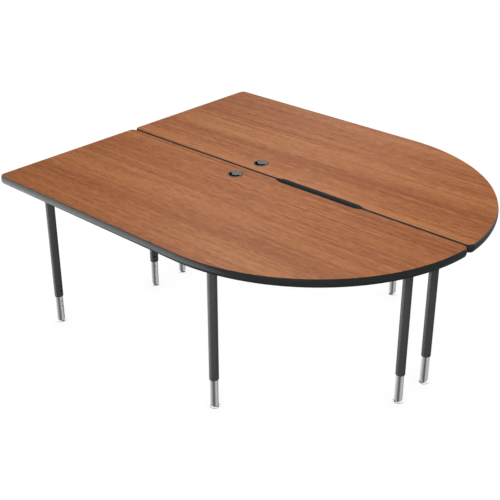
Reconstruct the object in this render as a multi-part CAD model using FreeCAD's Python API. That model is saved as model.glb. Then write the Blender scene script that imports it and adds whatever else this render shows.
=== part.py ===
import FreeCAD, Part
import math
import os

V = FreeCAD.Vector

# Table top. X runs along the seam, Y across it, Z up from the floor.
top_length = 1768.0
half_depth = 736.0
end_radius = 739.0
corner_radius = 25.4
top_height = 703.0
top_thickness = 31.75
laminate_thickness = 0.8
backer_thickness = 0.8
seam_gap = 5.5

# Edge band: a convex face with a tongue that goes into a kerf in the core board.
band_bulge = 3.8
tongue_thickness = 2.2
tongue_depth = 9.0
kerf_side_gap = 0.1
kerf_end_gap = 0.5

# Cable slot on the seam, measured between the edge bands.
slot_length = 434.0
slot_width = 30.9
slot_taper = 30.0
slot_corner_radius = 60.0
slot_from_round_end = 468.0
least_round = 1.0
slope_share = 0.48

# Cable grommets: a flanged sleeve in the board and a cap that turns in it.
grommet_to_slot = 155.0
grommet_from_seam = 78.5
flange_overhang = 2.85
flange_height = 1.2
flange_round = 0.8
sleeve_radius = 28.9
sleeve_wall = 1.8
sleeve_depth = 24.0
sleeve_hole_gap = 0.2
ledge_depth = 1.2
ledge_width = 2.0
ledge_thickness = 2.0
cap_thickness = 3.5
cap_rim_gap = 0.3
cap_seat_gap = 0.05
cap_opening_width = 12.2
cap_opening_angle = 178.0
cap_edge_round = 0.5
cap_skirt_wall = 1.6
cap_skirt_depth = 5.0

# Legs: how far the nearest edge of each mounting plate stands from the outer edge, the seam or
# an end of the top, and the way the screw holes face on the front half, in degrees from +X.
outer_plate_setback = 95.0
inner_plate_setback = 37.0
outer_left_inset = 78.0
inner_left_inset = 146.0
outer_right_inset = 644.0
inner_right_inset = 139.0
outer_left_facing = 0.0
inner_left_facing = -32.0
outer_right_facing = 135.0
inner_right_facing = 190.0

# Leg tube and its mounting plate.
tube_diameter = 38.1
tube_wall = 1.6
plate_size = 102.0
plate_thickness = 3.0
plate_corner_radius = 12.0
plate_hole_inset = 13.0
spigot_length = 12.0
spigot_wall = 2.0
weld_size = 4.0
weld_gap = 0.05

# Guide bushing, sliding insert and glide.
bushing_wall = 1.425
bushing_length = 72.0
bushing_lip = 2.5
bushing_lip_round = 1.2
bushing_fit_gap = 0.05
slide_gap = 0.1
insert_wall = 1.6
insert_length = 330.0
insert_exposed = 119.0
index_pitch = 25.4
index_hole_diameter = 6.0
index_low_margin = 30.0
index_high_margin = 12.0
lock_screw_rise = 26.1
glide_flare = 4.4
glide_height = 6.0
glide_rim_height = 1.6
glide_rim_round = 0.8
glide_dome_bow = 0.7
glide_shoulder = 0.7
glide_stem_length = 18.0
glide_stem_gap = 0.05

# Fasteners.
set_screw_diameter = 8.0
set_screw_proud = 0.4
set_screw_tip_gap = 0.3
set_screw_socket = 4.0
set_screw_socket_depth = 1.8
screw_fit_gap = 0.05
wood_screw_diameter = 4.8
wood_screw_cover = 11.6
wood_screw_point = 4.0
screw_head_diameter = 9.6
screw_head_height = 3.0
screw_head_round = 1.8
screw_recess_length = 5.0
screw_recess_width = 1.2
screw_recess_depth = 1.6
screw_clearance_hole = 5.6
pilot_tip_gap = 0.5

# Joining plates under the seam.
joiner_length = 120.0
joiner_side_gap = 3.0
joiner_thickness = 3.0
joiner_corner_radius = 6.0
joiner_hole_end_inset = 15.0
joiner_hole_side_inset = 12.0

# Heights and places that follow from the sizes above.
board_bottom = top_height - top_thickness
board_middle = top_height - top_thickness / 2
core_bottom = board_bottom + backer_thickness
core_top = top_height - laminate_thickness
plate_bottom = board_bottom - plate_thickness
lip_bottom = glide_height + insert_exposed
tube_bottom = lip_bottom + bushing_lip
tube_radius = tube_diameter / 2
tube_bore = tube_radius - tube_wall
bushing_radius = tube_bore - bushing_fit_gap
bushing_bore = bushing_radius - bushing_wall
insert_radius = bushing_bore - slide_gap
insert_bore = insert_radius - insert_wall
lock_height = tube_bottom + lock_screw_rise
lock_heights = [lock_height, lock_height + index_pitch]
wood_screw_length = plate_thickness + top_thickness - wood_screw_cover

left_end = -top_length / 2
right_end = top_length / 2
slot_right = right_end - slot_from_round_end
slot_left = slot_right - slot_length
grommet_x = slot_left - grommet_to_slot
sleeve_bore = sleeve_radius - sleeve_wall
ledge_top = top_height - ledge_depth

plate_reach = plate_size / 2
plate_holes = plate_size - 2 * plate_hole_inset
outer_leg_y = half_depth - outer_plate_setback - plate_reach
inner_leg_y = inner_plate_setback + plate_reach
outer_left_x = left_end + outer_left_inset + plate_reach
inner_left_x = left_end + inner_left_inset + plate_reach
outer_right_x = right_end - outer_right_inset - plate_reach
inner_right_x = right_end - inner_right_inset - plate_reach

legs = [
    ("outer_left", outer_left_x, outer_leg_y, outer_left_facing),
    ("inner_left", inner_left_x, inner_leg_y, inner_left_facing),
    ("outer_right", outer_right_x, outer_leg_y, outer_right_facing),
    ("inner_right", inner_right_x, inner_leg_y, inner_right_facing),
]
joiner_width = 2 * (inner_plate_setback - joiner_side_gap)
joiner_holes_x = joiner_length - 2 * joiner_hole_end_inset
joiner_holes_y = joiner_width - 2 * joiner_hole_side_inset
joiner_places = [(inner_left_x + grommet_x) / 2, (slot_right + inner_right_x) / 2]
halves = [("front", -1), ("back", 1)]


def save(name, shape):
    shape.exportStep("parts/" + name + ".step")


def ring(outer, inner, bottom, height):
    base = V(0, 0, bottom)
    return Part.makeCylinder(outer, height, base).cut(Part.makeCylinder(inner, height, base))


def turned(start, *steps):
    """Solid turned about the Z axis. A step is the next (radius, height), or an arc's middle and end."""
    edges = []
    at = V(start[0], 0, start[1])
    for step in steps + (start,):
        if isinstance(step[0], tuple):
            middle, end = [V(radius, 0, height) for radius, height in step]
            edges.append(Part.Arc(at, middle, end).toShape())
        else:
            end = V(step[0], 0, step[1])
            edges.append(Part.LineSegment(at, end).toShape())
        at = end
    return Part.Face(Part.Wire(edges)).revolve(V(0, 0, 0), V(0, 0, 1), 360)


def soften(solid, rounding, radius, height):
    """Round the circular edge of the given radius that lies at the given height."""
    rims = [e for e in solid.Edges if isinstance(e.Curve, Part.Circle)]
    rims = [e for e in rims if math.isclose(e.Curve.Radius, radius)]
    return solid.makeFillet(rounding, [e for e in rims if math.isclose(e.Curve.Center.z, height)])


def hole_square(spacing_x, spacing_y):
    return [(sx * spacing_x / 2, sy * spacing_y / 2) for sx in (-1, 1) for sy in (-1, 1)]


def flat_plate(length, width, thickness, radius, bottom):
    """Flat plate centred on the Z axis with rounded corners."""
    box = Part.makeBox(length, width, thickness, V(-length / 2, -width / 2, bottom))
    upright = [e for e in box.Edges if abs(e.Vertexes[0].Z - e.Vertexes[1].Z) > thickness / 2]
    return box.makeFillet(radius, upright)


def rounded_corner(before, at, after, radius):
    """Start, middle and end of the arc that rounds the corner of two straight edges."""
    back = (before - at).normalize()
    ahead = (after - at).normalize()
    half_angle = back.getAngle(ahead) / 2
    reach = radius / math.tan(half_angle)
    centre = at + (back + ahead).normalize() * (radius / math.sin(half_angle))
    middle = centre + (at - centre).normalize() * radius
    return at + back * reach, middle, at + ahead * reach


def half_outline(inset):
    """Edge line of the back half, lying inset inside the outer face of its edge band."""
    seam = seam_gap / 2 + inset
    slot_side = slot_width / 2 + inset
    slot_slope = math.atan2(slot_width / 2 - seam_gap / 2, slot_taper)
    slot_shift = inset * math.tan(slot_slope / 2)
    outer = half_depth - inset
    left = left_end + inset
    small = max(corner_radius - inset, least_round)
    big = end_radius - inset
    slope_length = slot_taper / math.cos(slot_slope)
    slot_round = min(slot_corner_radius, slope_share * slope_length / math.tan(slot_slope / 2))
    slot_mouth = max(slot_round - inset, least_round)
    slot_floor = slot_round + inset

    big_centre = V(right_end - end_radius, half_depth - end_radius, 0)
    tip_rise = seam + small - big_centre.y
    tip_run = math.sqrt((big - small) ** 2 - tip_rise ** 2)
    tip_centre = big_centre + V(tip_run, tip_rise, 0)
    tip_start = big_centre + (tip_centre - big_centre).normalize() * big
    tip_end = V(tip_centre.x, seam, 0)
    tip_bisector = (tip_start - tip_centre + tip_end - tip_centre).normalize()
    tip_middle = tip_centre + tip_bisector * small
    big_start = V(big_centre.x, outer, 0)
    big_bisector = (V(0, big, 0) + tip_start - big_centre).normalize()
    big_middle = big_centre + big_bisector * big

    corners = [
        (V(slot_right + slot_shift, seam, 0), slot_mouth),
        (V(slot_right - slot_taper + slot_shift, slot_side, 0), slot_floor),
        (V(slot_left + slot_taper - slot_shift, slot_side, 0), slot_floor),
        (V(slot_left - slot_shift, seam, 0), slot_mouth),
        (V(left, seam, 0), small),
        (V(left, outer, 0), small),
    ]
    stops = [tip_end] + [point for point, radius in corners] + [big_start]
    edges = []
    reached = tip_end
    for i, (point, radius) in enumerate(corners):
        start, middle, end = rounded_corner(stops[i], point, stops[i + 2], radius)
        edges.append(Part.LineSegment(reached, start).toShape())
        edges.append(Part.Arc(start, middle, end).toShape())
        reached = end
    edges.append(Part.LineSegment(reached, big_start).toShape())
    edges.append(Part.Arc(big_start, big_middle, tip_start).toShape())
    edges.append(Part.Arc(tip_start, tip_middle, tip_end).toShape())
    return Part.Wire(edges)


def half_slab(inset, bottom, height):
    face = Part.Face(half_outline(inset))
    return face.extrude(V(0, 0, height)).translate(V(0, 0, bottom))


def grommet_hole(bottom, height):
    radius = sleeve_radius + sleeve_hole_gap
    return Part.makeCylinder(radius, height, V(grommet_x, grommet_from_seam, bottom))


def screw_places():
    """Where wood screws enter the underside of the back half: leg plates, then joining plates."""
    places = []
    for name, x, y, facing in legs:
        places += [(x + dx, y + dy) for dx, dy in hole_square(plate_holes, plate_holes)]
    for x in joiner_places:
        holes = hole_square(joiner_holes_x, joiner_holes_y)
        places += [(x + dx, dy) for dx, dy in holes if dy > 0]
    return places


def screw_holes(radius, bottom, height):
    return [Part.makeCylinder(radius, height, V(x, y, bottom)) for x, y in screw_places()]


def core_board():
    thickness = core_top - core_bottom
    board = half_slab(band_bulge, core_bottom, thickness)
    kerf_height = tongue_thickness + 2 * kerf_side_gap
    kerf_bottom = board_middle - kerf_height / 2
    kerf_depth = tongue_depth + kerf_end_gap
    kerf = half_slab(band_bulge, kerf_bottom, kerf_height)
    kerf = kerf.cut(half_slab(band_bulge + kerf_depth, kerf_bottom, kerf_height))
    deepest_point = wood_screw_length - min(plate_thickness, joiner_thickness)
    pilot_depth = deepest_point - backer_thickness + pilot_tip_gap
    pilots = screw_holes(wood_screw_diameter / 2 + screw_fit_gap, core_bottom, pilot_depth)
    return board.cut([kerf, grommet_hole(core_bottom, thickness)] + pilots)


def laminate_sheet():
    sheet = half_slab(band_bulge, core_top, laminate_thickness)
    return sheet.cut(grommet_hole(core_top, laminate_thickness))


def backer_sheet():
    sheet = half_slab(band_bulge, board_bottom, backer_thickness)
    holes = screw_holes(screw_clearance_hole / 2, board_bottom, backer_thickness)
    return sheet.cut([grommet_hole(board_bottom, backer_thickness)] + holes)


def edge_band():
    """Edge moulding: its section drawn where the path starts, then swept round the board."""
    path = half_outline(band_bulge)
    start = path.OrderedVertexes[0].Point
    face_low = V(start.x, start.y, board_bottom)
    face_high = V(start.x, start.y, top_height)
    crown = V(start.x, start.y - band_bulge, board_middle)
    tongue_low = board_middle - tongue_thickness / 2
    tongue_high = board_middle + tongue_thickness / 2
    inner = start.y + tongue_depth
    back = Part.makePolygon([
        face_low,
        V(start.x, start.y, tongue_low),
        V(start.x, inner, tongue_low),
        V(start.x, inner, tongue_high),
        V(start.x, start.y, tongue_high),
        face_high,
    ])
    section = Part.Wire([Part.Arc(face_high, crown, face_low).toShape()] + back.Edges)
    path.translate(V(0, 0, board_middle))
    return path.makePipeShell([section], True, True)


def grommet_sleeve():
    """Sleeve turned about its own axis: rounded flange, cap recess, ledge and long skirt."""
    bottom = top_height - sleeve_depth
    flange_radius = sleeve_radius + flange_overhang
    flange_top = top_height + flange_height
    ledge_bore = sleeve_bore - ledge_width
    ledge_low = ledge_top - ledge_thickness
    sleeve = turned(
        (sleeve_bore, bottom),
        (sleeve_radius, bottom),
        (sleeve_radius, top_height),
        (flange_radius, top_height),
        (flange_radius, flange_top),
        (sleeve_bore, flange_top),
        (sleeve_bore, ledge_top),
        (ledge_bore, ledge_top),
        (ledge_bore, ledge_low),
        (sleeve_bore, ledge_low),
    )
    return soften(sleeve, flange_round, flange_radius, flange_top)


def grommet_cap():
    """Cap: a hub disc, a rim on the side away from -Y and a guide skirt under that rim."""
    bottom = ledge_top + cap_seat_gap
    top = bottom + cap_thickness
    rim_radius = sleeve_bore - cap_rim_gap
    skirt_radius = rim_radius - ledge_width
    rim_angle = 360 - cap_opening_angle
    up = V(0, 0, 1)
    skirt_base = V(0, 0, bottom - cap_skirt_depth)
    hub = Part.makeCylinder(rim_radius - cap_opening_width, cap_thickness, V(0, 0, bottom))
    rim = Part.makeCylinder(rim_radius, cap_thickness, V(0, 0, bottom), up, rim_angle)
    skirt = Part.makeCylinder(skirt_radius, cap_skirt_depth, skirt_base, up, rim_angle)
    skirt = skirt.cut(Part.makeCylinder(skirt_radius - cap_skirt_wall, cap_skirt_depth, skirt_base))
    cap = hub.fuse([rim, skirt]).removeSplitter()
    top_edges = [e for e in cap.Edges if math.isclose(e.BoundBox.ZMin, top, abs_tol=1e-3)]
    cap = cap.makeFillet(cap_edge_round, top_edges)
    return cap.rotate(V(0, 0, 0), up, cap_opening_angle / 2 - 90)


def leg_plate():
    """Plate screwed to the board, with a spigot inside the tube and a weld bead round it."""
    plate = flat_plate(plate_size, plate_size, plate_thickness, plate_corner_radius, plate_bottom)
    spigot_bottom = plate_bottom - spigot_length
    spigot = ring(bushing_radius, bushing_radius - spigot_wall, spigot_bottom, spigot_length)
    bead_bore = tube_radius + weld_gap
    bead_crown = weld_size * math.sqrt(0.5)
    bead = turned(
        (bead_bore, plate_bottom),
        (bead_bore, plate_bottom - weld_size),
        ((bead_bore + bead_crown, plate_bottom - bead_crown), (bead_bore + weld_size, plate_bottom)),
    )
    holes = [
        Part.makeCylinder(screw_clearance_hole / 2, plate_thickness, V(dx, dy, plate_bottom))
        for dx, dy in hole_square(plate_holes, plate_holes)
    ]
    return plate.fuse([spigot, bead]).removeSplitter().cut(holes)


def set_screw_holes():
    """Radial holes towards +X for the set screws, from the bushing's bore out through the tube."""
    radius = set_screw_diameter / 2 + screw_fit_gap
    return [Part.makeCylinder(radius, tube_diameter, V(0, 0, z), V(1, 0, 0)) for z in lock_heights]


def leg_tube():
    tube = ring(tube_radius, tube_bore, tube_bottom, plate_bottom - tube_bottom)
    return tube.cut(set_screw_holes())


def leg_bushing():
    top = tube_bottom + bushing_length
    sleeve = turned(
        (bushing_bore, lip_bottom),
        (tube_radius, lip_bottom),
        (tube_radius, tube_bottom),
        (bushing_radius, tube_bottom),
        (bushing_radius, top),
        (bushing_bore, top),
    )
    return soften(sleeve, bushing_lip_round, tube_radius, lip_bottom).cut(set_screw_holes())


def leg_insert():
    """Sliding tube with a row of index holes, one of them under each set screw."""
    top = glide_height + insert_length
    tube = ring(insert_radius, insert_bore, glide_height, insert_length)
    below = int((lock_height - glide_height - index_low_margin) / index_pitch)
    above = int((top - index_high_margin - lock_height) / index_pitch)
    heights = [lock_height + i * index_pitch for i in range(-below, above + 1)]
    radius = index_hole_diameter / 2
    return tube.cut([Part.makeCylinder(radius, tube_diameter, V(0, 0, z), V(1, 0, 0)) for z in heights])


def glide():
    """Flared foot under the insert, with a stem pressed into the insert's bore."""
    shoulder = insert_radius + glide_shoulder
    foot = shoulder + glide_flare
    stem = insert_bore - glide_stem_gap
    stem_top = glide_height + glide_stem_length
    dome = ((foot + shoulder) / 2 + glide_dome_bow, (glide_rim_height + glide_height) / 2 + glide_dome_bow)
    foot_piece = turned(
        (0, 0),
        (foot, 0),
        (foot, glide_rim_height),
        (dome, (shoulder, glide_height)),
        (stem, glide_height),
        (stem, stem_top),
        (0, stem_top),
    )
    return soften(foot_piece, glide_rim_round, foot, 0)


def set_screw():
    """Socket set screw along +X, backed off just clear of the insert."""
    tip = insert_radius + set_screw_tip_gap
    head = tube_radius + set_screw_proud
    along = V(1, 0, 0)
    screw = Part.makeCylinder(set_screw_diameter / 2, head - tip, V(tip, 0, 0), along)
    corner = set_screw_socket / 2 / math.cos(math.pi / 6)
    angles = [math.pi / 3 * i for i in range(7)]
    floor = head - set_screw_socket_depth
    hexagon = Part.makePolygon([V(floor, corner * math.cos(a), corner * math.sin(a)) for a in angles])
    return screw.cut(Part.Face(hexagon).extrude(along * set_screw_socket_depth))


def wood_screw():
    """Pan head screw pointing up, its head seated at z = 0 from below."""
    head_radius = screw_head_diameter / 2
    shank = wood_screw_diameter / 2
    screw = turned(
        (0, -screw_head_height),
        (head_radius, -screw_head_height),
        (head_radius, 0),
        (shank, 0),
        (shank, wood_screw_length - wood_screw_point),
        (0, wood_screw_length),
    )
    screw = soften(screw, screw_head_round, head_radius, -screw_head_height)
    long, wide, deep = screw_recess_length, screw_recess_width, screw_recess_depth
    bars = [
        Part.makeBox(a, b, deep, V(-a / 2, -b / 2, -screw_head_height))
        for a, b in ((long, wide), (wide, long))
    ]
    return screw.cut(bars)


def joining_plate(x):
    bottom = board_bottom - joiner_thickness
    plate = flat_plate(joiner_length, joiner_width, joiner_thickness, joiner_corner_radius, bottom)
    holes = [
        Part.makeCylinder(screw_clearance_hole / 2, joiner_thickness, V(dx, dy, bottom))
        for dx, dy in hole_square(joiner_holes_x, joiner_holes_y)
    ]
    return plate.cut(holes).translate(V(x, 0, 0))


os.makedirs("parts", exist_ok=True)

half_pieces = {
    "core_board": core_board(),
    "laminate": laminate_sheet(),
    "backer_sheet": backer_sheet(),
    "edge_band": edge_band(),
}
leg_pieces = {
    "leg_tube": leg_tube(),
    "leg_bushing": leg_bushing(),
    "leg_insert": leg_insert(),
}
plate_piece = leg_plate()
glide_piece = glide()
sleeve_piece = grommet_sleeve()
cap_piece = grommet_cap()
set_screw_piece = set_screw()
wood_screw_piece = wood_screw()

for half, side in halves:
    for name, piece in half_pieces.items():
        placed = piece if side > 0 else piece.mirror(V(0, 0, 0), V(0, 1, 0))
        save(half + "_" + name, placed)

    grommet_place = V(grommet_x, side * grommet_from_seam, 0)
    save(half + "_grommet_sleeve", sleeve_piece.translated(grommet_place))
    save(half + "_grommet_cap", cap_piece.translated(grommet_place))

    plate_screws = []
    set_screws = []
    for leg, x, y, facing in legs:
        place = V(x, side * y, 0)
        leg_name = half + "_" + leg
        turn = -side * facing
        for name, piece in leg_pieces.items():
            faced = piece.copy().rotate(V(0, 0, 0), V(0, 0, 1), turn)
            save(leg_name + "_" + name, faced.translated(place))
        save(leg_name + "_leg_plate", plate_piece.translated(place))
        save(leg_name + "_glide", glide_piece.translated(place))
        for z in lock_heights:
            faced = set_screw_piece.translated(V(0, 0, z)).rotate(V(0, 0, 0), V(0, 0, 1), turn)
            set_screws.append(faced.translated(place))
        for dx, dy in hole_square(plate_holes, plate_holes):
            plate_screws.append(wood_screw_piece.translated(place + V(dx, dy, plate_bottom)))
    save(half + "_leg_plate_screws", Part.makeCompound(plate_screws))
    save(half + "_leg_set_screws", Part.makeCompound(set_screws))

joiner_screws = []
for name, x in zip(("left", "right"), joiner_places):
    save(name + "_joining_plate", joining_plate(x))
    for dx, dy in hole_square(joiner_holes_x, joiner_holes_y):
        seat = V(x + dx, dy, board_bottom - joiner_thickness)
        joiner_screws.append(wood_screw_piece.translated(seat))
save("joining_plate_screws", Part.makeCompound(joiner_screws))
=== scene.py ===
import math

import bpy
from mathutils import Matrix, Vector


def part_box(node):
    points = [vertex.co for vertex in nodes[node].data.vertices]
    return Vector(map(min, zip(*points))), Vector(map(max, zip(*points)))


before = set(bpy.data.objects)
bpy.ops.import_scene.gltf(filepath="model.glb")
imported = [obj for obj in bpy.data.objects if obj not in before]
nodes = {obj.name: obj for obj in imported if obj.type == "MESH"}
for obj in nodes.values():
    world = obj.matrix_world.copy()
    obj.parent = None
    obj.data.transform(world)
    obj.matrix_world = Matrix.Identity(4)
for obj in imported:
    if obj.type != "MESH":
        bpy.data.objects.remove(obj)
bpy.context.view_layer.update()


# Core boards: two slabs of particle board, pressed from wood chips and resin and sawn to the half
# outline. Only the walls of their bores and kerfs stay bare; everything else is covered.
halves = ("front", "back")


def on_halves(piece):
    """Names of a piece that each half top has one of."""
    return [f"{half}_{piece}" for half in halves]


def paint(red, green, blue):
    """A colour as it looks on a screen, from 0 to 255, as the light values that a shader takes."""
    shares = [value / 255 for value in (red, green, blue)]
    light = [s / 12.92 if s <= 0.04045 else ((s + 0.055) / 1.055) ** 2.4 for s in shares]
    return (*light, 1.0)


def fill_inputs(tree, node, inputs):
    """Sets a node's inputs; each is a plain value or another node's output."""
    for name, value in inputs.items():
        if isinstance(value, bpy.types.NodeSocket):
            tree.links.new(value, node.inputs[name])
        else:
            node.inputs[name].default_value = value


def add_node(tree, kind, inputs=None, **settings):
    """A new shader node with its settings and inputs."""
    node = tree.nodes.new("ShaderNode" + kind)
    for name, value in settings.items():
        setattr(node, name, value)
    fill_inputs(tree, node, inputs or {})
    return node


def calculated(tree, operation, *values):
    """Result of one calculation with values or other nodes' outputs."""
    return add_node(tree, "Math", dict(enumerate(values)), operation=operation).outputs["Value"]


def new_finish(name):
    """A finish with its node tree and its surface shader."""
    finish = bpy.data.materials.new(name)
    finish.use_nodes = True
    return finish, finish.node_tree, finish.node_tree.nodes["Principled BSDF"]


def stretched(tree, marks, start=(0.0, 0.0, 0.0), places=None):
    """Places on the piece, scaled to give a pattern that many marks to the metre along X, Y and Z."""
    if places is None:
        places = add_node(tree, "TexCoord").outputs["Object"]
    mapping = add_node(tree, "Mapping", {"Vector": places, "Location": start, "Scale": marks})
    return mapping.outputs["Vector"]


def cloudy(tree, places, detail=2.0, roughness=0.5):
    """Cloud noise from 0 to 1 at those places."""
    inputs = {"Vector": places, "Scale": 1.0, "Detail": detail, "Roughness": roughness}
    return add_node(tree, "TexNoise", inputs).outputs["Fac"]


def cells(tree, places):
    """Cells side by side, each with a tone of its own."""
    return add_node(tree, "TexVoronoi", {"Vector": places, "Scale": 1.0}).outputs["Color"]


def ramp(tree, share, *stops):
    """Colours blended along a share: each stop is a position and a colour."""
    node = add_node(tree, "ValToRGB", {"Fac": share})
    elements = node.color_ramp.elements
    while len(elements) < len(stops):
        elements.new(0.5)
    for element, (position, colour) in zip(elements, stops):
        element.position = position
        element.color = colour
    return node.outputs["Color"]


def weigh(tree, *parts):
    """Sum of shares, each a pair of the share and its weight, about a middle of one half."""
    total = 0.5 - sum(weight for share, weight in parts) / 2
    for share, weight in parts:
        total = calculated(tree, "MULTIPLY_ADD", share, weight, total)
    return total


def relief(tree, surface, height, depth, strength=1.0):
    """Fine relief on the surface, that many metres deep."""
    bump = add_node(tree, "Bump", {"Height": height, "Distance": depth, "Strength": strength})
    tree.links.new(bump.outputs["Normal"], surface.inputs["Normal"])


def dress(finish, names):
    """Gives CAD nodes a finish."""
    for name in names:
        nodes[name].material_slots[0].material = finish


chip_marks = (420, 420, 900)
fibre_marks = (900, 900, 2400)
chip_depth = 0.0004
bare_roughness = 0.85
chip_dark = paint(118, 88, 58)
chip_middle = paint(176, 142, 102)
chip_light = paint(208, 178, 136)
board, board_tree, board_surface = new_finish("bare_particle_board")
chip_shape = cells(board_tree, stretched(board_tree, chip_marks))
chip_fibre = cloudy(board_tree, stretched(board_tree, fibre_marks), detail=3.0)
chip_tone = weigh(board_tree, (chip_shape, 0.7), (chip_fibre, 0.5))
chip_colour = ramp(board_tree, chip_tone, (0.1, chip_dark), (0.5, chip_middle), (0.9, chip_light))
fill_inputs(board_tree, board_surface, {"Base Color": chip_colour, "Roughness": bare_roughness})
relief(board_tree, board_surface, chip_tone, chip_depth)
dress(board, on_halves("core_board"))


# Laminate sheets: printed wood-grain decor under clear satin melamine, glued to the core boards with the
# grain running along the seam. Each half is cut from its own length of sheet, so the grain differs.
def between(tree, share, span, values):
    """A share that runs over a span, turned into a value that runs from one to another."""
    (low_at, high_at), (low, high) = span, values
    inputs = {"Value": share, "From Min": low_at, "From Max": high_at, "To Min": low, "To Max": high}
    return add_node(tree, "MapRange", inputs).outputs["Result"]


def mixed(tree, share, one, other):
    """One colour that turns into another along a share."""
    return add_node(tree, "MixRGB", {"Fac": share, "Color1": one, "Color2": other}).outputs["Color"]


wood_dark = paint(136, 74, 40)
wood_middle = paint(163, 98, 56)
wood_light = paint(187, 124, 78)
wood_gloss = (0.30, 0.24)
wood_depth = 0.00005
pore_colour = paint(104, 57, 34)
pore_strength = 0.55
sway_marks = (1.1, 2.5, 1.0)
sway_start = 2.0
sway_width = 0.003
leaf_marks = (0.0, 6.0, 0.0)
leaf_start = 0.4
whole = (0.0, 1.0)


def wood_finish(name, sheet_start, lift):
    """Reddish wood with its grain along X, cut at a place on the sheet; its tone is lifted partly as the
    sheet's own and partly as painted light.
    """
    finish, tree, surface = new_finish(name)
    sway = cloudy(tree, stretched(tree, sway_marks, (sheet_start, sway_start, 0.0)), detail=1.0)
    sway_shift = add_node(tree, "CombineXYZ", {"Y": between(tree, sway, whole, (-sway_width, sway_width))})
    straight = add_node(tree, "TexCoord").outputs["Object"]
    sway_parts = {0: straight, 1: sway_shift.outputs["Vector"]}
    swayed = add_node(tree, "VectorMath", sway_parts, operation="ADD").outputs["Vector"]

    def grain(along, across, start, **kind):
        """One layer of marks, that many to the metre along and across the grain."""
        layer_start = (sheet_start + start, start, start)
        return cloudy(tree, stretched(tree, (along, across, 1.0), layer_start, swayed), **kind)

    leaf = cells(tree, stretched(tree, leaf_marks, (0.0, sheet_start + leaf_start, 0.0)))
    band = grain(along=0.35, across=7.0, start=0.3)
    flame = grain(along=0.45, across=24.0, start=5.1, roughness=0.6)
    streak = grain(along=0.5, across=75.0, start=9.7, roughness=0.6)
    line = grain(along=0.8, across=190.0, start=13.2, detail=3.0, roughness=0.75)
    fleck = grain(along=27.0, across=290.0, start=17.9, roughness=0.6)
    mottle = grain(along=7.0, across=16.0, start=25.3)
    broad = weigh(tree, (leaf, 0.22), (band, 0.95), (flame, 0.5), (mottle, 0.2))
    fine = weigh(tree, (broad, 1.0), (streak, 0.5), (line, 1.9), (fleck, 1.7))
    tone = calculated(tree, "ADD", fine, lift)
    wood = ramp(tree, tone, (0.10, wood_dark), (0.5, wood_middle), (0.90, wood_light))
    pore = between(tree, grain(along=42.0, across=1250.0, start=21.4, detail=1.0), (0.60, 0.72), whole)
    pored = mixed(tree, calculated(tree, "MULTIPLY", pore, pore_strength), wood, pore_colour)
    gloss = between(tree, tone, (0.2, 0.8), wood_gloss)
    fill_inputs(tree, surface, {"Base Color": pored, "Roughness": gloss, "Specular IOR Level": 0.4})
    relief(tree, surface, calculated(tree, "SUBTRACT", line, pore), wood_depth, strength=0.5)
    return finish


# The back sheet's larger lift is partly its own tone and partly painted light, brightening the back half
# where more light falls on the top.
sheets = {"front": {"sheet_start": 22.8, "lift": 0.01}, "back": {"sheet_start": 65.8, "lift": 0.07}}
for half, sheet in sheets.items():
    dress(wood_finish(half + "_wood_laminate", **sheet), [half + "_laminate"])


# Backer sheets: plain brown resin-paper sheets glued under the boards so that they stay flat.
# They show from below, a matt surface with faint paper mottle and the sanding lines of the press.
paper_marks = (60, 60, 60)
sanding_marks = (6, 900, 6)
paper_dark = paint(104, 84, 66)
paper_light = paint(140, 117, 95)
paper_roughness = 0.62
paper_depth = 0.00006
backer, backer_tree, backer_surface = new_finish("resin_paper_backer")
paper = cloudy(backer_tree, stretched(backer_tree, paper_marks), detail=5.0, roughness=0.65)
sanding = cloudy(backer_tree, stretched(backer_tree, sanding_marks))
paper_tone = weigh(backer_tree, (paper, 0.8), (sanding, 0.3))
paper_colour = ramp(backer_tree, paper_tone, (0.2, paper_dark), (0.8, paper_light))
fill_inputs(backer_tree, backer_surface, {"Base Color": paper_colour, "Roughness": paper_roughness})
relief(backer_tree, backer_surface, paper_tone, paper_depth, strength=0.6)
dress(backer, on_halves("backer_sheet"))


# Edge bands: extruded charcoal vinyl with a barbed tongue, hammered into the kerf all round each board.
# The die leaves faint lines along the strip, and the outside is satin from wear. In the seam and round
# the cable slot the vinyl is painted a matt, slightly bluer grey, a painted shade for the dark seam line.
def coordinate(tree, axis):
    """How far along an axis a place on the piece lies, in metres."""
    place = add_node(tree, "TexCoord").outputs["Object"]
    return add_node(tree, "SeparateXYZ", {"Vector": place}).outputs[axis]


die_marks = (1.5, 1.5, 1100)
pebble_marks = (2300, 2300, 2300)
scuff_marks = (14, 14, 90)
band_dark = paint(42, 44, 45)
band_light = paint(58, 60, 61)
band_gloss = (0.24, 0.34)
band_depth = 0.00005
seam_shade_colour = paint(62, 67, 70)
seam_shade_roughness = 1.0
seam_shade_up_to = 0.0195
seam_shade_fade = 0.0006
most_clouds = (0.3, 0.7)
vinyl, vinyl_tree, vinyl_surface = new_finish("charcoal_vinyl")
die_lines = cloudy(vinyl_tree, stretched(vinyl_tree, die_marks))
pebble = cloudy(vinyl_tree, stretched(vinyl_tree, pebble_marks))
scuff = cloudy(vinyl_tree, stretched(vinyl_tree, scuff_marks), detail=4.0, roughness=0.7)
vinyl_tone = weigh(vinyl_tree, (die_lines, 0.4), (pebble, 0.4), (scuff, 0.5))
satin_colour = ramp(vinyl_tree, vinyl_tone, (0.2, band_dark), (0.8, band_light))
satin_roughness = between(vinyl_tree, scuff, most_clouds, band_gloss)
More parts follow.
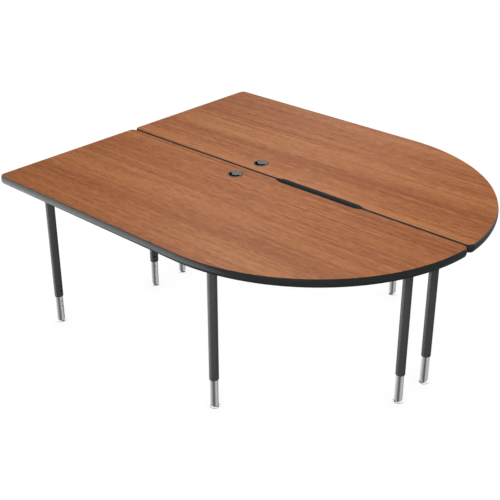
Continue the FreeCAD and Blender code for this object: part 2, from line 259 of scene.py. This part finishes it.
# Painted shade: the band close to the seam and round the cable slot is matt and bluer, standing in for the
# shade in the seam.
off_seam = calculated(vinyl_tree, "ABSOLUTE", coordinate(vinyl_tree, "Y"))
seam_shade = between(vinyl_tree, off_seam, (seam_shade_up_to, seam_shade_up_to + seam_shade_fade), (1.0, 0.0))
vinyl_colour = mixed(vinyl_tree, seam_shade, satin_colour, seam_shade_colour)
vinyl_roughness = between(vinyl_tree, seam_shade, whole, (satin_roughness, seam_shade_roughness))
vinyl_looks = {"Base Color": vinyl_colour, "Roughness": vinyl_roughness, "Specular IOR Level": 0.42}
fill_inputs(vinyl_tree, vinyl_surface, vinyl_looks)
vinyl_skin = weigh(vinyl_tree, (die_lines, 0.5), (pebble, 0.5))
relief(vinyl_tree, vinyl_surface, vinyl_skin, band_depth, strength=0.7)
dress(vinyl, on_halves("edge_band"))


# Grommets: a flanged sleeve pressed into each bore and a cap that turns in it, both injection moulded
# with a fine spark-eroded grain. The sleeve is charcoal and the cap mid grey. Below a height both are
# painted black, a painted shade in the bore, on the cap's side wall and round the flange's foot.
painted_shade_black = paint(14, 15, 16)
painted_shade_fade = 0.0002
fine_grain_marks = (2600, 2600, 2600)
soft_grain_marks = (160, 160, 160)
moulded_gloss = (0.42, 0.52)
moulded_depth = 0.00006


def moulded_finish(name, dark, light, painted_shade_below):
    """Grained plastic with painted shade: black under a height."""
    finish, tree, surface = new_finish(name)
    fine_grain = cloudy(tree, stretched(tree, fine_grain_marks))
    soft_grain = cloudy(tree, stretched(tree, soft_grain_marks), detail=3.0)
    tone = weigh(tree, (fine_grain, 0.6), (soft_grain, 0.4))
    # Painted shade: black below the given height, standing in for the shade in the bore, on the cap's side
    # wall and at the flange's foot.
    painted_shade = between(tree, coordinate(tree, "Z"), (painted_shade_below, painted_shade_below - painted_shade_fade), whole)
    colour = mixed(tree, painted_shade, ramp(tree, tone, (0.2, dark), (0.8, light)), painted_shade_black)
    gloss = between(tree, soft_grain, most_clouds, moulded_gloss)
    fill_inputs(tree, surface, {"Base Color": colour, "Roughness": gloss, "Specular IOR Level": 0.4})
    relief(tree, surface, fine_grain, moulded_depth, strength=0.8)
    return finish


worktop_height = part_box("front_laminate")[1].z
cap_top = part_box("front_grommet_cap")[1].z
cap_edge = 0.0004
# The sleeve is painted shade black below the worktop, and the cap just under its top edge.
charcoal = moulded_finish("charcoal_plastic", paint(58, 60, 62), paint(78, 80, 82), worktop_height)
mid_grey = moulded_finish("grey_plastic", paint(86, 89, 91), paint(106, 109, 111), cap_top - cap_edge)
dress(charcoal, on_halves("grommet_sleeve"))
dress(mid_grey, on_halves("grommet_cap"))


# Leg plates and leg tubes: steel plates welded to round steel tubes, baked in one dark grey powder coat.
# The coat has a slight orange peel, and a duller bloom where hands and shoes have rubbed it.
legs = ("outer_left", "inner_left", "outer_right", "inner_right")


def on_legs(piece):
    """Names of a piece that each of the eight legs has one of."""
    return [f"{half}_{leg}_{piece}" for half in halves for leg in legs]


peel_marks = (420, 420, 420)
speck_marks = (2400, 2400, 2400)
bloom_marks = (30, 30, 7)
coat_dark = paint(86, 88, 89)
coat_light = paint(102, 104, 105)
coat_gloss = (0.17, 0.23)
coat_depth = 0.00008
coat, coat_tree, coat_surface = new_finish("dark_grey_powder_coat")
peel = cloudy(coat_tree, stretched(coat_tree, peel_marks))
speck = cloudy(coat_tree, stretched(coat_tree, speck_marks), detail=1.0)
bloom = cloudy(coat_tree, stretched(coat_tree, bloom_marks), detail=4.0, roughness=0.65)
coat_tone = weigh(coat_tree, (speck, 0.35), (bloom, 0.5), (peel, 0.2))
coat_colour = ramp(coat_tree, coat_tone, (0.2, coat_dark), (0.8, coat_light))
coat_roughness = between(coat_tree, bloom, most_clouds, coat_gloss)
coat_looks = {"Base Color": coat_colour, "Roughness": coat_roughness, "Specular IOR Level": 0.28}
fill_inputs(coat_tree, coat_surface, coat_looks)
relief(coat_tree, coat_surface, peel, coat_depth, strength=0.5)
dress(coat, on_legs("leg_plate") + on_legs("leg_tube"))


# Guide bushings: black nylon sleeves, injection moulded and pushed into the tubes' lower ends.
# Their rounded lip shows as the end of the tube, and the insert slides in them.
def clouded_finish(name, marks, dark, light, gloss, depth, strength, metallic=0.0, span=most_clouds, **kind):
    """A finish with one soft cloud in its colour, its gloss and its relief."""
    finish, tree, surface = new_finish(name)
    cloud = cloudy(tree, stretched(tree, marks), **kind)
    colour = ramp(tree, cloud, (0.3, dark), (0.7, light))
    roughness = between(tree, cloud, span, gloss)
    fill_inputs(tree, surface, {"Base Color": colour, "Roughness": roughness, "Metallic": metallic})
    relief(tree, surface, cloud, depth, strength)
    return finish


nylon_dark = paint(34, 35, 36)
nylon_light = paint(46, 47, 48)
nylon = clouded_finish("black_nylon", (500, 500, 500), nylon_dark, nylon_light, gloss=(0.40, 0.50),
                       depth=0.00004, strength=0.6, detail=3.0)
dress(nylon, on_legs("leg_bushing"))


# Leg inserts: drawn steel tubes with a row of drilled index holes, plated in bright chrome.
# Drawing and sliding have left fine lines along them.
drawn_marks = (1500, 1500, 9)
haze_marks = (70, 70, 22)
chrome_dark = paint(205, 207, 210)
chrome_light = paint(240, 241, 243)
chrome_gloss = (0.12, 0.24)
chrome_depth = 0.00003
chrome, chrome_tree, chrome_surface = new_finish("drawn_chrome_tube")
drawn = cloudy(chrome_tree, stretched(chrome_tree, drawn_marks), detail=3.0, roughness=0.6)
haze = cloudy(chrome_tree, stretched(chrome_tree, haze_marks), detail=4.0, roughness=0.6)
chrome_tone = weigh(chrome_tree, (drawn, 0.8), (haze, 0.5))
chrome_colour = ramp(chrome_tree, chrome_tone, (0.2, chrome_dark), (0.8, chrome_light))
chrome_roughness = between(chrome_tree, haze, most_clouds, chrome_gloss)
chrome_looks = {"Base Color": chrome_colour, "Roughness": chrome_roughness, "Metallic": 1.0}
fill_inputs(chrome_tree, chrome_surface, chrome_looks)
relief(chrome_tree, chrome_surface, drawn, chrome_depth, strength=0.5)
dress(chrome, on_legs("leg_insert"))


# Glides: flared steel feet, turned, polished and chromed, with a stem pressed into the insert.
# They stand on the floor and are lightly scratched.
glide_dark = paint(222, 223, 225)
glide_light = paint(244, 245, 246)
polished = clouded_finish("polished_chrome_glide", (900, 900, 900), glide_dark, glide_light,
                          gloss=(0.16, 0.30), span=(0.35, 0.7), depth=0.00002, strength=0.4, metallic=1.0,
                          detail=4.0, roughness=0.7)
dress(polished, on_legs("glide"))


# Set screws: black oxide steel with a hexagon socket, two to a leg.
# They are screwed through the tube's wall over the insert's index holes and hold it at its height.
oxide_dark = paint(26, 27, 28)
oxide_light = paint(46, 47, 49)
oxide = clouded_finish("black_oxide_steel", (900, 900, 900), oxide_dark, oxide_light, gloss=(0.32, 0.48),
                       depth=0.00002, strength=0.5, metallic=0.7, detail=3.0)
dress(oxide, on_halves("leg_set_screws"))


# Wood screws and joining plates: mild steel with a pale zinc plating, faintly clouded and brushed.
# The screws hold the leg plates under the boards, and the joining plates across the seam.
spangle_marks = (260, 260, 260)
brushing_marks = (40, 2200, 2200)
zinc_dark = paint(160, 160, 154)
zinc_light = paint(200, 201, 196)
zinc_gloss = (0.28, 0.44)
zinc_depth = 0.00003
zinc, zinc_tree, zinc_surface = new_finish("zinc_plated_steel")
spangle = cloudy(zinc_tree, stretched(zinc_tree, spangle_marks), detail=4.0, roughness=0.6)
brushing = cloudy(zinc_tree, stretched(zinc_tree, brushing_marks))
zinc_tone = weigh(zinc_tree, (spangle, 0.8), (brushing, 0.4))
zinc_colour = ramp(zinc_tree, zinc_tone, (0.2, zinc_dark), (0.8, zinc_light))
zinc_roughness = between(zinc_tree, spangle, most_clouds, zinc_gloss)
zinc_looks = {"Base Color": zinc_colour, "Roughness": zinc_roughness, "Metallic": 1.0}
fill_inputs(zinc_tree, zinc_surface, zinc_looks)
relief(zinc_tree, zinc_surface, zinc_tone, zinc_depth, strength=0.5)
dress(zinc, ["left_joining_plate", "right_joining_plate", "joining_plate_screws"])
dress(zinc, on_halves("leg_plate_screws"))


# Floor: a wide white studio floor, which the camera sees white and which takes the table's soft shadow,
# deepest close round the feet. Shiny pieces don't see it.
def seen_directly(tree):
    """One where the camera or a clear material looks, and else zero."""
    path = add_node(tree, "LightPath").outputs
    return calculated(tree, "MAXIMUM", path["Is Camera Ray"], path["Is Transmission Ray"])


floor_reach = 60.0
floor_signs = ((-1, -1), (1, -1), (1, 1), (-1, 1))
floor_corners = [(x * floor_reach, y * floor_reach, 0.0) for x, y in floor_signs]
floor_mesh = bpy.data.meshes.new("studio_floor")
floor_mesh.from_pydata(floor_corners, [], [(0, 1, 2, 3)])
floor = bpy.data.objects.new("studio_floor", floor_mesh)
floor.visible_glossy = False
bpy.context.scene.collection.objects.link(floor)

white = (1.0, 1.0, 1.0, 1.0)
matt_grey = (0.45, 0.45, 0.45, 1.0)
shadow_grey = (0.15, 0.15, 0.15, 1.0)
contact_reach = 0.12
contact_span = (0.35, 1.0)
contact_light = (0.84, 0.97)
floor_finish = bpy.data.materials.new("white_studio_floor")
floor_finish.use_nodes = True
floor_tree = floor_finish.node_tree
floor_tree.nodes.remove(floor_tree.nodes["Principled BSDF"])
floor_matt = add_node(floor_tree, "BsdfDiffuse", {"Color": matt_grey})
floor_shadow = add_node(floor_tree, "BsdfDiffuse", {"Color": shadow_grey})
openness = add_node(floor_tree, "AmbientOcclusion", {"Distance": contact_reach}, samples=16).outputs["AO"]
floor_light = between(floor_tree, openness, contact_span, contact_light)
floor_glow = add_node(floor_tree, "Emission", {"Color": white, "Strength": floor_light})
floor_parts = {0: floor_shadow.outputs["BSDF"], 1: floor_glow.outputs["Emission"]}
floor_white = add_node(floor_tree, "AddShader", floor_parts)
floor_ways = {0: seen_directly(floor_tree), 1: floor_matt.outputs["BSDF"], 2: floor_white.outputs["Shader"]}
floor_mix = add_node(floor_tree, "MixShader", floor_ways)
floor_tree.links.new(floor_mix.outputs["Shader"], floor_tree.nodes["Material Output"].inputs["Surface"])
floor_mesh.materials.append(floor_finish)


# Backdrop: a dim room with a white ceiling, which the camera sees white all over. Shiny pieces see the
# room as it is: pale beside and behind the table, dim where the camera stands and under the table, and
# with one bright strip behind.
def heading(degrees):
    """Level direction, counted from +X towards +Y."""
    return Vector((math.cos(math.radians(degrees)), math.sin(math.radians(degrees)), 0.0))


def angles(*degrees):
    """Angles in the unit that a calculation takes."""
    return [math.radians(angle) for angle in degrees]


studio = bpy.data.worlds.new("studio")
bpy.context.scene.world = studio
studio.use_nodes = True
room_tree = studio.node_tree
room_tree.nodes.remove(room_tree.nodes["Background"])
outward = add_node(room_tree, "TexCoord").outputs["Generated"]
upward = add_node(room_tree, "SeparateXYZ", {"Vector": outward}).outputs["Z"]


def towards(degrees):
    """How nearly a direction points to a heading."""
    way = add_node(room_tree, "VectorMath", {0: outward, 1: heading(degrees)}, operation="DOT_PRODUCT")
    return way.outputs["Value"]


camera_side = -65
square_end_side = 180
far_side = 120
strip_side = 128
under_feet = (-0.85, -0.60)
floor_line = (-0.26, -0.14)
wall_foot = (0.04, 0.12)
strip_bend = (0.30, 0.50)
ceiling_line = (0.60, 0.75)
strip_edge = angles(1, 8)
pale_wall_edge = angles(20, 40)
near_wall_edge = angles(62, 78)
ground_light = 0.26
ground_light_by_camera = 0.10
ground_light_under_table = 0.04
square_end_light = 0.55
horizon_light = 0.95
strip_light_low = 0.52
strip_light_high = 0.85
dim_wall_light = 0.03
pale_wall_light = 0.75
near_wall_light = 0.05
ceiling_light = 1.0
ground = between(room_tree, towards(camera_side), (0.15, 1.0), (ground_light, ground_light_by_camera))
pale_ground = between(room_tree, towards(square_end_side), (0.55, 0.85), (0.0, square_end_light))
ground = calculated(room_tree, "ADD", ground, pale_ground)
ground = between(room_tree, upward, under_feet, (ground_light_under_table, ground))
horizon = between(room_tree, towards(far_side), (0.2, 0.5), (ground, horizon_light))
turned = calculated(room_tree, "ARCTAN2", towards(strip_side + 90), towards(strip_side))
strip_lean = between(room_tree, upward, strip_bend, angles(-4.0, 10.3))
strip_light = between(room_tree, upward, strip_bend, (strip_light_low, strip_light_high))
off_strip = calculated(room_tree, "ABSOLUTE", calculated(room_tree, "SUBTRACT", turned, strip_lean))
walls = between(room_tree, off_strip, strip_edge, (strip_light, dim_wall_light))
pale_walls = between(room_tree, off_strip, pale_wall_edge, (0.0, pale_wall_light))
walls = calculated(room_tree, "ADD", walls, pale_walls)
walls = between(room_tree, off_strip, near_wall_edge, (walls, near_wall_light))
room = between(room_tree, upward, floor_line, (ground, horizon))
room = between(room_tree, upward, wall_foot, (room, walls))
room = between(room_tree, upward, ceiling_line, (room, ceiling_light))

fill_light = 0.16
room_light = calculated(room_tree, "MAXIMUM", room, seen_directly(room_tree))
backdrop = add_node(room_tree, "Background", {"Color": white, "Strength": room_light})
fill = add_node(room_tree, "Background", {"Color": white, "Strength": fill_light})
mirrored_ray = add_node(room_tree, "LightPath").outputs["Is Glossy Ray"]
shown = calculated(room_tree, "MAXIMUM", mirrored_ray, seen_directly(room_tree))
room_ways = {0: shown, 1: fill.outputs["Background"], 2: backdrop.outputs["Background"]}
room_mix = add_node(room_tree, "MixShader", room_ways)
room_tree.links.new(room_mix.outputs["Shader"], room_tree.nodes["World Output"].inputs["Surface"])


# Lamps: a soft box overhead and one beside the camera light the whole table. The others stand round it,
# some lower than the floor, which doesn't stop them, and each lights a few pieces only: they edge the
# tubes and bands, lift them out of the dark from behind, and whiten the chromed inserts and glides.
def soft_box(name, place, aim, width, height, power, mirrored=True):
    """A rectangular lamp, in metres and watts; shiny pieces show it where it is mirrored."""
    lamp = bpy.data.lights.new(name, "AREA")
    lamp.shape = "RECTANGLE"
    lamp.size = width
    lamp.size_y = height
    lamp.energy = power
    box = bpy.data.objects.new(name, lamp)
    box.location = place
    box.rotation_euler = (Vector(aim) - Vector(place)).to_track_quat("-Z", "Y").to_euler()
    box.visible_camera = False
    box.visible_glossy = mirrored
    bpy.context.scene.collection.objects.link(box)
    return box


table_middle = Vector((0.0, 0.0, worktop_height))
overhead_offset = Vector((-0.1, 0.35, 2.25))
front_side = -62
front_distance = 3.4
front_height = 1.7
front_place = heading(front_side) * front_distance + Vector((0.0, 0.0, front_height))
soft_box("overhead_box", table_middle + overhead_offset, table_middle, width=2.4, height=2.4, power=63.0)
soft_box("front_box", front_place, table_middle, width=1.4, height=1.4, power=38.0, mirrored=False)

leg_middle = Vector((0.0, 0.0, worktop_height / 2))


def side_box(name, pieces, side, drop, width, height, power, distance=6.0, mirrored=True):
    """A lamp at a heading, that many degrees under the legs' middle, for the named pieces only."""
    slope = math.radians(drop)
    place = leg_middle + (heading(side) * math.cos(slope) - Vector((0, 0, math.sin(slope)))) * distance
    box = soft_box(name, place, leg_middle, width, height, power, mirrored)
    reached = bpy.data.collections.new(name + "_reach")
    for piece in pieces:
        reached.objects.link(nodes[piece])
    box.light_linking.receiver_collection = reached
    box.light_linking.blocker_collection = reached
    return box


bands = on_halves("edge_band")
tubes_and_bands = on_legs("leg_tube") + bands
inserts = on_legs("leg_insert")
glides = on_legs("glide")
glide_sides = (-48, 42, 132, 222)
edging_box = side_box("edging_box", tubes_and_bands, side=-135.5, drop=16, width=7.4, height=4.8, power=225.0)
edging_box.visible_diffuse = False
side_box("back_box", tubes_and_bands, side=132, drop=-12, width=3.5, height=2.5, power=70.0,
         distance=4.5, mirrored=False)
side_box("rim_box", bands, side=110, drop=24, width=4.6, height=4.4, power=18.0)
side_box("insert_right_box", inserts, side=20, drop=27, width=17.0, height=4.0, power=75.0)
side_box("insert_left_box", inserts, side=-125, drop=27, width=9.4, height=4.0, power=28.0)
for number, side in enumerate(glide_sides, start=1):
    side_box(f"glide_box_{number}", glides, side, drop=-24, width=12.0, height=6.0, power=230.0)


# Camera: where the photograph was taken from, above the table's round end and in front of its seam,
# looking down on both halves. Its place and angles follow from the outline, the seam and the legs.
photo_width = 500
focus_in_pixels = 993.79
sensor_width = 36.0
camera_place = (2.40109, -2.81210, 2.28803)
camera_tilt = 62.745
camera_roll = 0.032
camera_turn = 42.354
camera_sight = 200.0
camera_data = bpy.data.cameras.new("camera")
camera_data.sensor_width = sensor_width
camera_data.lens = focus_in_pixels * sensor_width / photo_width
camera_data.clip_end = camera_sight
camera = bpy.data.objects.new("camera", camera_data)
camera.location = camera_place
camera.rotation_euler = angles(camera_tilt, camera_roll, camera_turn)
bpy.context.scene.collection.objects.link(camera)
bpy.context.scene.camera = camera
bpy.context.scene.view_settings.view_transform = "Standard"
